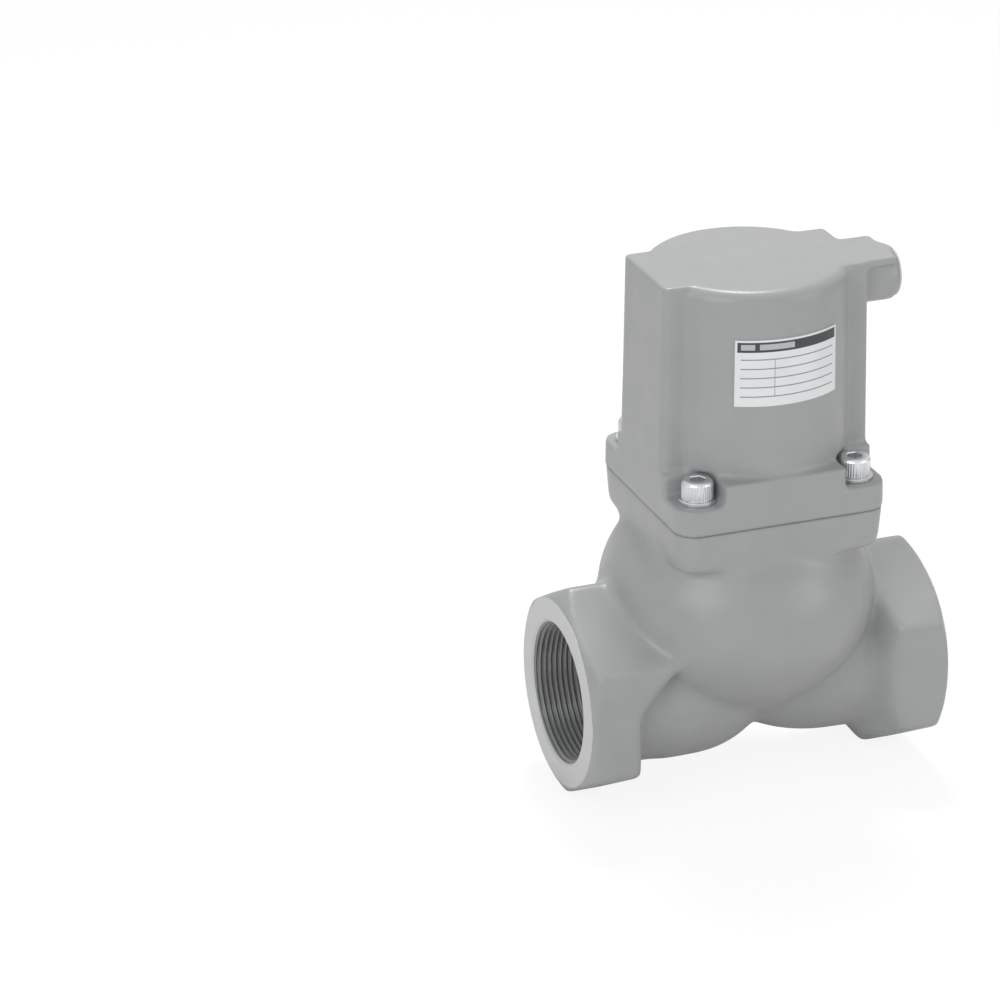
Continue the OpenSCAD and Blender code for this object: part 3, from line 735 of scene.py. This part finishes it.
# %% The tree that fills four corners
def corner_tree():
    """Geometry Nodes that copy the incoming piece to the corners of a rectangle."""
    tree = bpy.data.node_groups.new("four_corners", "GeometryNodeTree")
    for label, kind in (
        ("Geometry", "NodeSocketGeometry"), ("Spacing X", "NodeSocketFloat"),
        ("Spacing Y", "NodeSocketFloat"), ("Centre", "NodeSocketVector"),
        ("Material", "NodeSocketMaterial"),
    ):
        tree.interface.new_socket(label, in_out="INPUT", socket_type=kind)
    tree.interface.new_socket("Geometry", in_out="OUTPUT", socket_type="NodeSocketGeometry")
    source = tree.nodes.new("NodeGroupInput")
    result = tree.nodes.new("NodeGroupOutput")
    corners = tree.nodes.new("GeometryNodeMeshGrid")
    corners.inputs["Vertices X"].default_value = 2
    corners.inputs["Vertices Y"].default_value = 2
    copies = tree.nodes.new("GeometryNodeInstanceOnPoints")
    shift = tree.nodes.new("GeometryNodeTransform")
    realize = tree.nodes.new("GeometryNodeRealizeInstances")
    paint = tree.nodes.new("GeometryNodeSetMaterial")
    tree.links.new(source.outputs["Spacing X"], corners.inputs["Size X"])
    tree.links.new(source.outputs["Spacing Y"], corners.inputs["Size Y"])
    tree.links.new(corners.outputs["Mesh"], copies.inputs["Points"])
    tree.links.new(source.outputs["Geometry"], copies.inputs["Instance"])
    tree.links.new(copies.outputs["Instances"], shift.inputs["Geometry"])
    tree.links.new(source.outputs["Centre"], shift.inputs["Translation"])
    tree.links.new(shift.outputs["Geometry"], realize.inputs["Geometry"])
    tree.links.new(realize.outputs["Geometry"], paint.inputs["Geometry"])
    tree.links.new(source.outputs["Material"], paint.inputs["Material"])
    tree.links.new(paint.outputs["Geometry"], result.inputs["Geometry"])
    return tree


def at_corners(piece, spacing, centre, material):
    """Runs the tree on a piece and bakes the four copies into its mesh."""
    modifier = piece.modifiers.new("four_corners", "NODES")
    modifier.node_group = corners_tree
    values = {"Spacing X": spacing[0], "Spacing Y": spacing[1], "Centre": centre, "Material": material}
    for item in corners_tree.interface.items_tree:
        if item.in_out == "INPUT" and item.name in values:
            modifier[item.identifier] = values[item.name]
    bake_modifiers(piece)


corners_tree = corner_tree()
print("tree nodes:", len(corners_tree.nodes))

# %% One cap screw
head_r = 6.5 * MM
head_h = 8 * MM
screw_r = 4 * MM
point_bevel = 0.8 * MM
head_bevel = 0.3 * MM
knurl_depth = 0.22 * MM
socket_r = 3.46 * MM
socket_depth = 4 * MM
screw_spacing = (bolts_high.x - bolts_low.x - 2 * head_r, bolts_high.y - bolts_low.y - 2 * head_r)
screw_centre = Vector((stem_x, 0, bolts_high.z - head_h))
shank_end = bolts_low.z - screw_centre.z
cap_screws = lathe("cap_screws", [
    (screw_r - point_bevel, shank_end), (screw_r, shank_end + point_bevel), (screw_r, -0.02 * MM),
    (head_r - head_bevel, 0), (head_r, head_bevel), (head_r, head_h - 1.4 * MM),
    (head_r - 0.2 * MM, head_h - 1.1 * MM), (head_r - 0.7 * MM, head_h - head_bevel),
    (head_r - 1.2 * MM, head_h),
], 144, ripple=knurl_depth, first=4, last=5)
print("screw spacing:", [round(v * 1000, 2) for v in screw_spacing])

# %% The socket of the cap screw
socket_tool = lathe("socket_tool", [
    (socket_r, head_h - socket_depth), (socket_r, head_h - 0.4 * MM), (4.4 * MM, head_h + 1 * MM),
], 6)
cut_away(cap_screws, socket_tool)
at_corners(cap_screws, screw_spacing, screw_centre, bolt_steel)
shade_smooth(cap_screws, 30)
finish_piece(cap_screws, bolt_steel, "housing", ["cover_bolts"])

# %% Plain washers
washer_r = (washers_high.x - washers_low.x - screw_spacing[0]) / 2
washer_t = washers_high.z - washers_low.z
washer_hole_r = screw_r + 0.1 * MM
edge = 0.25 * MM
plain_washers = lathe("plain_washers", [
    (washer_hole_r, 0), (washer_r - edge, 0), (washer_r, edge), (washer_r, washer_t - edge),
    (washer_r - edge, washer_t), (washer_hole_r, washer_t),
], 64)
at_corners(plain_washers, screw_spacing, Vector((stem_x, 0, washers_low.z)), washer_steel)
shade_smooth(plain_washers, 30)
finish_piece(plain_washers, washer_steel, "housing", ["bolt_washers"])

# %% [markdown]
# ## Nameplate
# The plate is a thin silver foil bent around the front of the cylinder. Its print is kept generic: a
# dark band along the top with two blank fields, thin rules below, and no words. The plate gets its
# own UV map, so that the print follows the bend.

# %% Nameplate mesh
plate_left = math.radians(-28.5)
plate_right = math.radians(35)
plate_drop = 2.4 * MM
cylinder_foot_r = 43.5 * MM
cylinder_draft = 1.7 * MM
draft_height = 94 * MM
plate_rise = 0.02 * MM
plate_skin = 0.5 * MM


def cylinder_r_at(z):
    """Radius of the drafted cylinder at a height."""
    return cylinder_foot_r - cylinder_draft * (z - joint_z) / draft_height


def bent_plate(name, columns, rows):
    """A closed plate on the front of the cylinder, with its print side in the UV map."""
    mesh = bmesh.new()
    print_map = mesh.loops.layers.uv.new("print")
    grids = []
    for lift in (plate_rise, plate_rise + plate_skin * 0.9):
        grid = {}
        for i in range(columns + 1):
            angle = plate_left + (plate_right - plate_left) * i / columns
            for j in range(rows + 1):
                z = plate_low.z - plate_drop + (plate_high.z - plate_low.z) * j / rows
                radius = cylinder_r_at(z) + lift
                grid[i, j] = mesh.verts.new((
                    stem_x + radius * math.sin(angle), -radius * math.cos(angle), z))
        grids.append(grid)
    back, front = grids
    for i in range(columns):
        for j in range(rows):
            corners = [(i, j), (i + 1, j), (i + 1, j + 1), (i, j + 1)]
            mesh.faces.new([back[c] for c in reversed(corners)])
            face = mesh.faces.new([front[c] for c in corners])
            for loop, (a, b) in zip(face.loops, corners):
                loop[print_map].uv = (a / columns, b / rows)
    border = [(i, 0) for i in range(columns)] + [(columns, j) for j in range(rows)]
    border += [(i, rows) for i in range(columns, 0, -1)] + [(0, j) for j in range(rows, 0, -1)]
    for here, there in zip(border, border[1:] + border[:1]):
        mesh.faces.new([back[here], back[there], front[there], front[here]])
    bmesh.ops.recalc_face_normals(mesh, faces=mesh.faces)
    return object_from(name, mesh)


name_foil = bent_plate("name_foil", 48, 8)
shade_smooth(name_foil, 40)
print("plate arc:", round(math.degrees(plate_right - plate_left)), "degrees")

# %% Nameplate print
def box_mask(tree, place, left, right, low, high):
    """A mask that is 1 inside a rectangle of the print."""
    u, v = place.outputs["X"], place.outputs["Y"]
    inside = math_node(tree, "GREATER_THAN", u, left)
    inside = math_node(tree, "MULTIPLY", inside, math_node(tree, "LESS_THAN", u, right))
    inside = math_node(tree, "MULTIPLY", inside, math_node(tree, "GREATER_THAN", v, low))
    return math_node(tree, "MULTIPLY", inside, math_node(tree, "LESS_THAN", v, high))


foil = new_finish("foil", (0.9, 0.91, 0.92), (0.7, 0.71, 0.72), skin, 0.1, 0.00001, rough=0.35)
foil_tree = foil.node_tree
foil_shader = foil_tree.nodes["Principled BSDF"]
print_uv = foil_tree.nodes.new("ShaderNodeUVMap")
print_uv.uv_map = "print"
print_place = foil_tree.nodes.new("ShaderNodeSeparateXYZ")
foil_tree.links.new(print_uv.outputs["UV"], print_place.inputs["Vector"])
foil_colour = foil_shader.inputs["Base Color"].links[0].from_socket
ink = (0.06, 0.062, 0.066)
rule_grey = (0.3, 0.305, 0.31)
bare_field = (0.5, 0.51, 0.52)
rule_width = 0.018
rule_levels = (0.7, 0.56, 0.42, 0.28, 0.14)
mask = box_mask(foil_tree, print_place, 0.02, 0.98, 0.82, 0.97)
foil_colour = mix_over(foil_tree, mask, foil_colour, ink)
for left, right in ((0.05, 0.17), (0.21, 0.52)):
    mask = box_mask(foil_tree, print_place, left, right, 0.855, 0.94)
    foil_colour = mix_over(foil_tree, mask, foil_colour, bare_field)
for level in rule_levels:
    mask = box_mask(foil_tree, print_place, 0.05, 0.95, level, level + rule_width)
    foil_colour = mix_over(foil_tree, mask, foil_colour, rule_grey)
rules_top = rule_levels[0] + rule_width
mask = box_mask(foil_tree, print_place, 0.34, 0.346, rule_levels[-1], rules_top)
foil_colour = mix_over(foil_tree, mask, foil_colour, rule_grey)
foil_tree.links.new(foil_colour, foil_shader.inputs["Base Color"])
finish_piece(name_foil, foil, "housing", ["nameplate"])

# %% [markdown]
# ## Inner pieces
# The pieces inside keep their solids. Each one gets the finish of its own material: turned steel for
# the stem and plates, rubber for the seals, bronze for the bush, light alloy for the piston.

# %% Finishes of the inner pieces
inner_finishes = {
    "gland_plate": turned_steel, "guide_bush": sintered_bronze, "stem_packing": seal_rubber,
    "packing_keeper": turned_steel, "air_seal": seal_rubber, "air_seal_keeper": turned_steel,
    "body_ring": seal_rubber, "cover_ring": seal_rubber, "piston": light_alloy,
    "piston_packing": seal_rubber, "piston_band": guide_resin, "piston_ring": seal_rubber,
    "stem": turned_steel, "piston_nut": bolt_steel, "return_spring": spring_wire,
    "spring_plate": turned_steel, "shutoff_disc": turned_steel, "valve_seal": seal_rubber,
    "seal_retainer": turned_steel, "retainer_nut": bolt_steel, "breather": sintered_bronze,
}
for name, material in inner_finishes.items():
    for slot in nodes[name].material_slots:
        slot.link = "OBJECT"
        slot.material = material
print("inner pieces finished:", len(inner_finishes))

# %% [markdown]
# ## Studio
# The valve stands over a pale floor in a bright room. A large weak key comes from the front left, a
# weaker fill from the front right, and a light above and behind draws the bright line on the rim.
# Floor and room are white to the camera, and the floor still takes a faint shadow.

# %% Floor
floor_half = 6
floor_z = cad_box[0][2] - 0.2 * MM
floor_mesh = bpy.data.meshes.new("floor")
floor_corners = [
    (x * floor_half, y * floor_half, floor_z) for x, y in ((-1, -1), (1, -1), (1, 1), (-1, 1))
]
floor_mesh.from_pydata(floor_corners, [], [(0, 1, 2, 3)])
floor = add_object("floor", floor_mesh)
floor_paint = bpy.data.materials.new("floor_paint")
floor_paint.use_nodes = True
floor_tree = floor_paint.node_tree
floor_shader = floor_tree.nodes["Principled BSDF"]
floor_shader.inputs["Base Color"].default_value = (0.85, 0.85, 0.85, 1)
floor_shader.inputs["Roughness"].default_value = 0.9
glow = floor_tree.nodes.new("ShaderNodeEmission")
glow.inputs["Strength"].default_value = 1.08
rays = floor_tree.nodes.new("ShaderNodeLightPath")
share = math_node(floor_tree, "MULTIPLY", rays.outputs["Is Camera Ray"], 0.8)
blend = floor_tree.nodes.new("ShaderNodeMixShader")
floor_tree.links.new(share, blend.inputs[0])
floor_tree.links.new(floor_shader.outputs[0], blend.inputs[1])
floor_tree.links.new(glow.outputs[0], blend.inputs[2])
floor_tree.links.new(blend.outputs[0], floor_tree.nodes["Material Output"].inputs["Surface"])
floor_mesh.materials.append(floor_paint)
print("floor at z =", round(floor_z, 4))

# %% Lights and world
def soft_light(name, place, aim, size, watts):
    """A square area light that points at a place."""
    data = bpy.data.lights.new(name, "AREA")
    data.shape = "SQUARE"
    data.size = size
    data.energy = watts
    light = bpy.data.objects.new(name, data)
    light.location = place
    light.rotation_euler = (Vector(aim) - Vector(place)).to_track_quat("-Z", "Y").to_euler()
    bpy.context.scene.collection.objects.link(light)


aim = (stem_x, 0, 0.07)
soft_light("key", (-0.95, -0.8, 0.75), aim, 0.8, 6.5)
soft_light("fill", (1.2, -1.05, 0.5), aim, 0.8, 4.5)
soft_light("rim", (0.22, 0.5, 1.24), aim, 0.3, 9)

world = bpy.data.worlds.new("studio")
bpy.context.scene.world = world
world.use_nodes = True
world_tree = world.node_tree
sky = world_tree.nodes["Background"]
sky.inputs["Color"].default_value = (1, 1, 1, 1)
world_rays = world_tree.nodes.new("ShaderNodeLightPath")
world_strength = math_node(
    world_tree, "MULTIPLY_ADD", world_rays.outputs["Is Glossy Ray"], 0.35, 0.45)
world_strength = math_node(
    world_tree, "MULTIPLY_ADD", world_rays.outputs["Is Camera Ray"], 0.55, world_strength)
world_tree.links.new(world_strength, sky.inputs["Strength"])
bpy.context.scene.view_settings.view_transform = "Standard"
print("lights:", len(bpy.data.lights))
